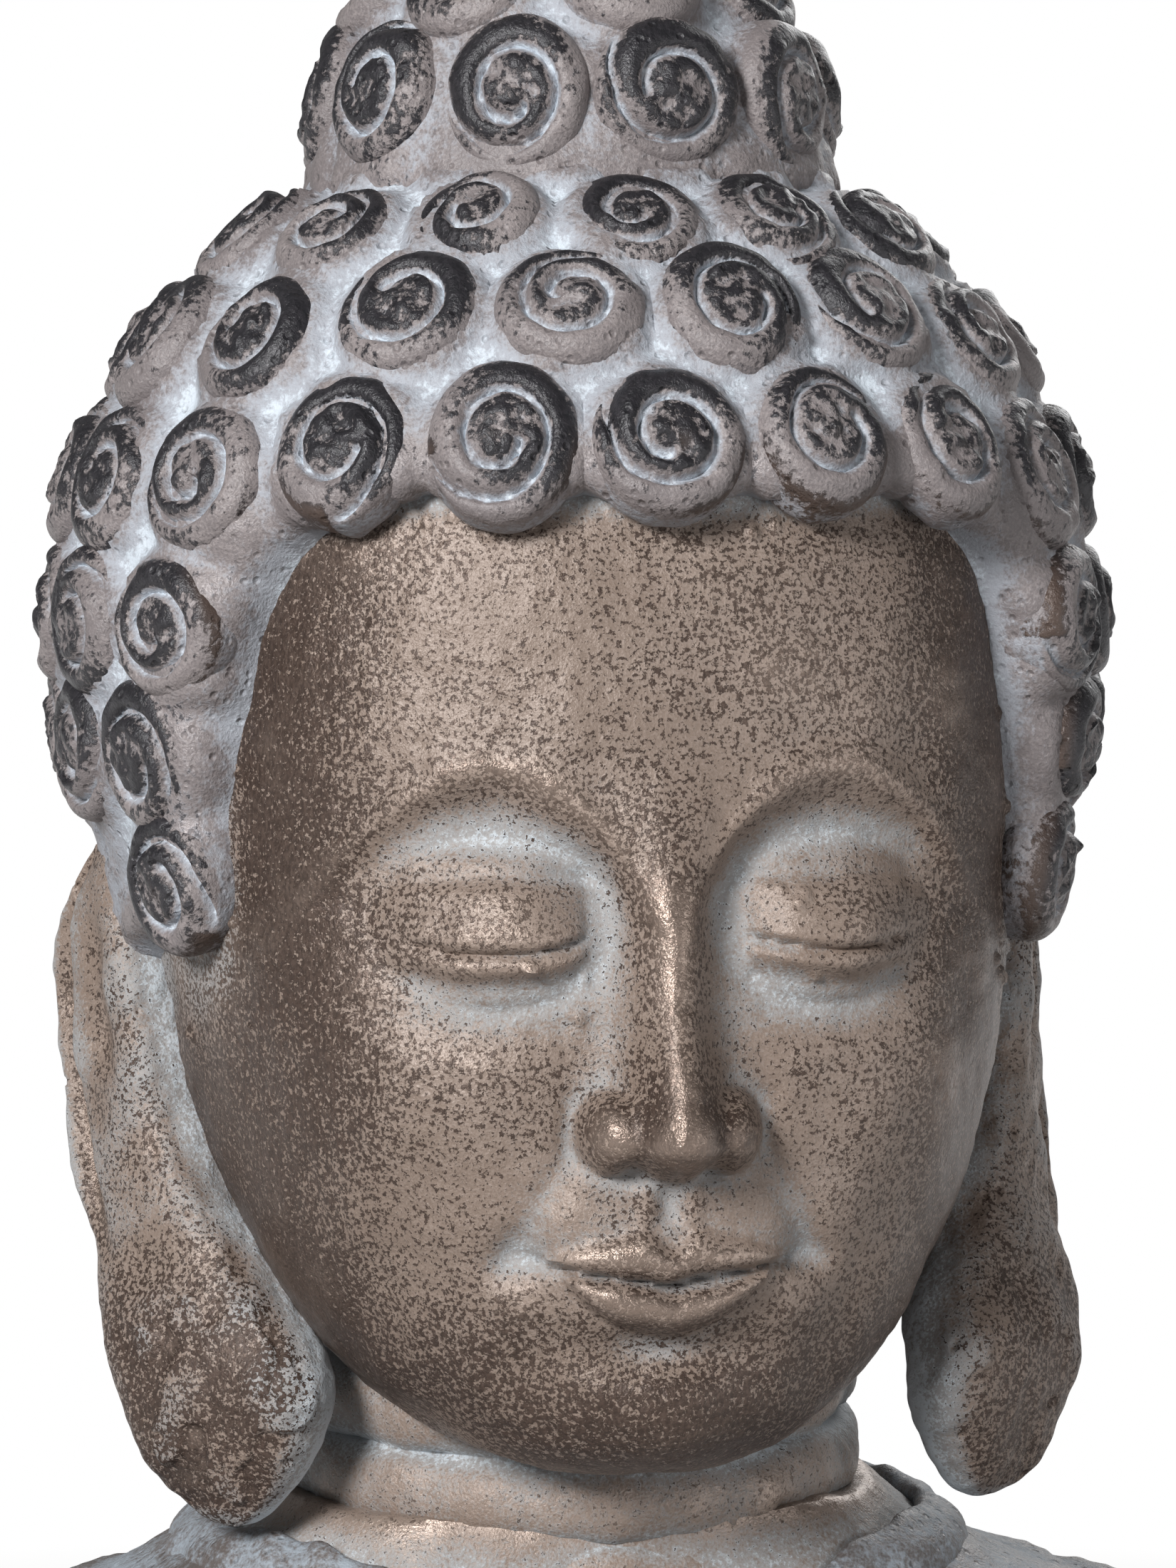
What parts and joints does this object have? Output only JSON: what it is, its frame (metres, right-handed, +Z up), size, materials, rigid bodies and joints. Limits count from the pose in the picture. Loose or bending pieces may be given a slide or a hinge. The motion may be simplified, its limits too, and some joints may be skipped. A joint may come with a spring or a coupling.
{
  "type": "buddha statue",
  "caption": "Hollow cast-stone Buddha bust with snail-curl hair, topknot, long ears, folded neck and robed shoulders on a closed flat base.",
  "frame": {"origin": "middle of the plane that the four felt pads rest on", "axes": "+Z up, the face looks along -Y, +X is the figure's left"},
  "size_m": [0.2442, 0.1442, 0.3],
  "materials": {
    "skin_stone": "cast cement stone, taupe stain with a pale wash and a dry-brushed metallic highlight",
    "hair_stone": "cast cement stone, whitewashed grey with charcoal dry-brushed on the crests",
    "robe_stone": "cast cement stone, dark stain under a blue-grey wash",
    "base_stone": "bare trowelled cement",
    "grout": "cement grout",
    "steel": "plain bar",
    "felt": "pressed wool felt"
  },
  "bodies": {
    "root": {"face_shell": "skin_stone", "rear_head_shell": "skin_stone", "scalp_shell": "hair_stone", "topknot_shell": "hair_stone", "nape_curls": "hair_stone", "lower_back_curls": "hair_stone", "lower_side_curls": "hair_stone", "side_curls": "hair_stone", "temple_curls": "hair_stone", "hairline_curls": "hair_stone", "crown_lower_curls": "hair_stone", "crown_upper_curls": "hair_stone", "topknot_base_curls": "hair_stone", "topknot_lower_curls": "hair_stone", "topknot_upper_curls": "hair_stone", "topknot_crown_curl": "hair_stone", "left_ear": "skin_stone", "right_ear": "skin_stone", "neck_sleeve": "skin_stone", "front_bust_shell": "robe_stone", "rear_bust_shell": "robe_stone", "robe_collar": "robe_stone", "base_plate": "base_stone", "base_pads": "felt", "neck_dowel": "steel", "neck_grout": "grout"}
  },
  "joints": []
}
